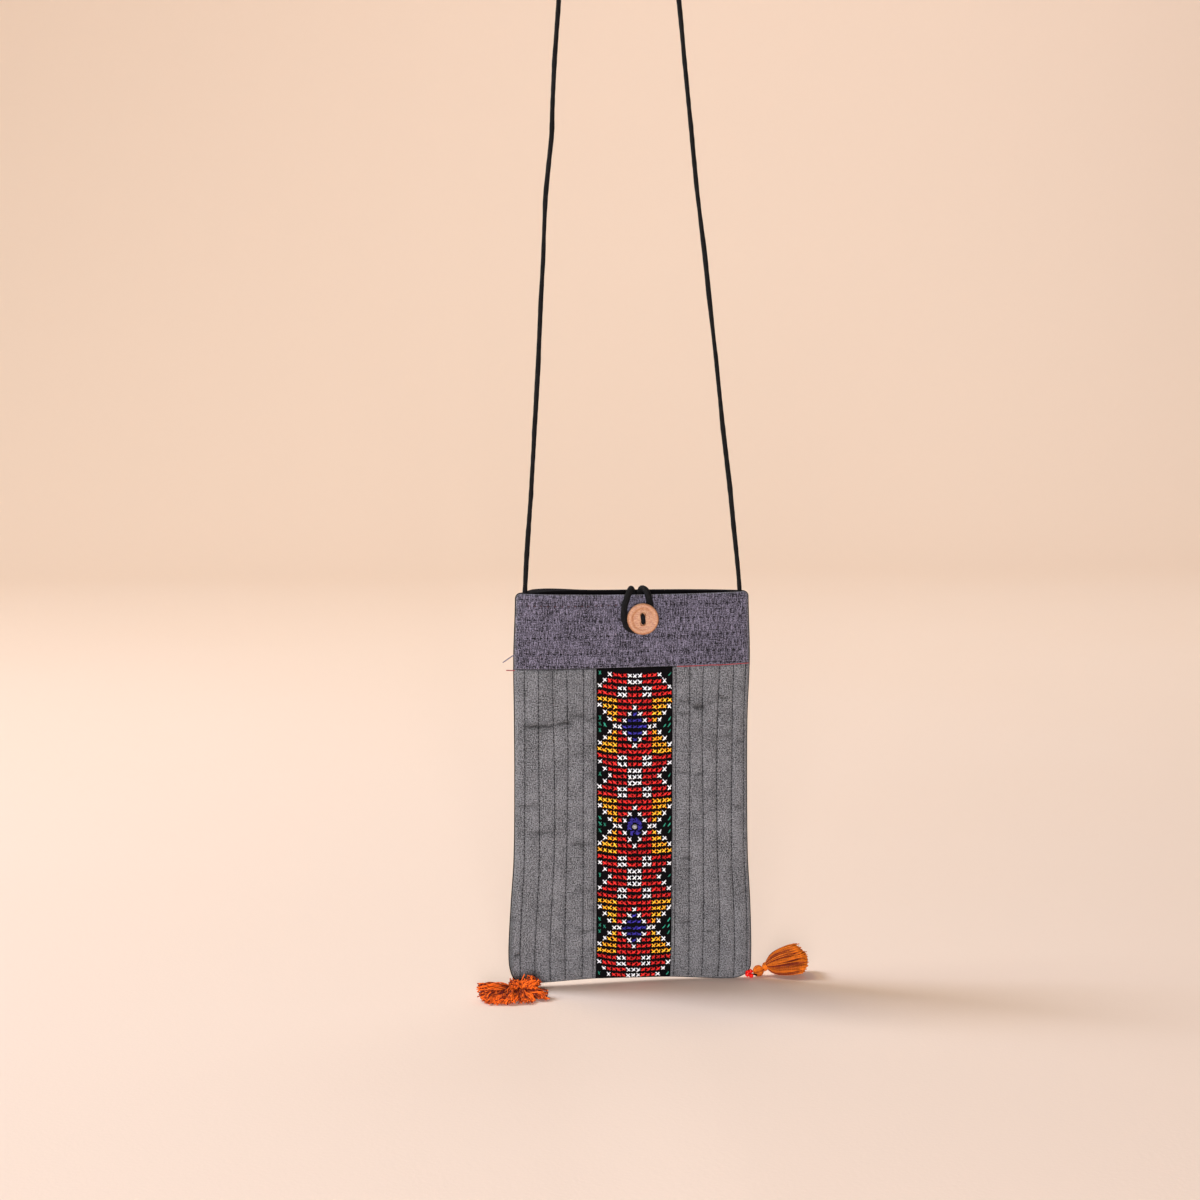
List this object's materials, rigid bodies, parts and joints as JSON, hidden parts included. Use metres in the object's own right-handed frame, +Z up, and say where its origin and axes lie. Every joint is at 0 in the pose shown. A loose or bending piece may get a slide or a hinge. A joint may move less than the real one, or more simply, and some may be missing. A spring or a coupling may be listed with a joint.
{
  "type": "phone sling bag",
  "caption": "Flat quilted cloth pouch for a phone, with a cross-stitched strip, a button and loop closure, corner tassels and a thin round strap to hang it from.",
  "frame": {"origin": "underside of the strap's top bend, where the bag hangs", "axes": "+Z up along the hanging bag, the bag's front faces -Y, +X to the right seen from the front"},
  "size_m": [0.1635, 0.0409, 0.5577],
  "materials": {
    "grey_quilting": "plain-woven grey cotton with sewn tucks",
    "slate_band": "slubby slate cotton with running stitch",
    "black_cotton": "plain black cotton",
    "cross_stitch": "cotton cross-stitch on black cloth",
    "strap_cord": "rolled black cotton cord",
    "wooden_button": "smooth light brown wood",
    "red_beads": "glossy red seed beads",
    "tassel_thread": "rust orange cotton thread"
  },
  "bodies": {
    "root": {"front_panel_left": "grey_quilting", "front_panel_right": "grey_quilting", "embroidered_strip": "cross_stitch", "top_band": "slate_band", "back_panel": "black_cotton", "lining": "black_cotton", "strap_cord": "strap_cord", "button_loop": "strap_cord", "button": "wooden_button", "button_thread": "black_cotton", "tassel_right_beads": "red_beads", "tassel_right_head": "tassel_thread", "tassel_right_skirt": "tassel_thread", "tassel_left_beads": "red_beads", "tassel_left_head": "tassel_thread", "tassel_left_skirt": "tassel_thread"}
  },
  "joints": []
}
